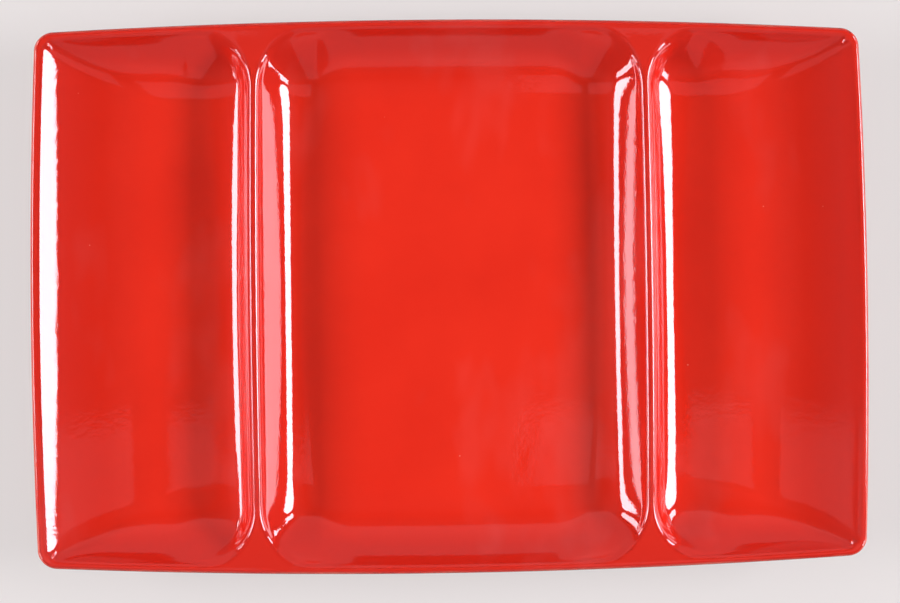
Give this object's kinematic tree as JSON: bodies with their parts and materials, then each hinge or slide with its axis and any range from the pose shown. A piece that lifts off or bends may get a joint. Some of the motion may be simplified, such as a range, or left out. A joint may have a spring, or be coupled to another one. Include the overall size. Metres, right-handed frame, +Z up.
{
  "type": "divided serving dish",
  "caption": "Long glazed ceramic serving dish with bowed sides, low curved walls and shallow wells parted by rounded dividers, standing on a foot ring.",
  "frame": {"origin": "on the table, under the middle of the dish", "axes": "+X along the length, across the wells; +Y across the width, along the dividers; +Z up out of the wells"},
  "size_m": [0.36, 0.238, 0.0265],
  "materials": {
    "bare_clay": "fired and bare, dry to the touch",
    "red_glaze": "gloss, with faint orange peel",
    "base_red_glaze": "gloss"
  },
  "bodies": {
    "root": {"clay_body": "bare_clay", "upper_glaze": "red_glaze", "base_glaze": "base_red_glaze"}
  },
  "joints": []
}
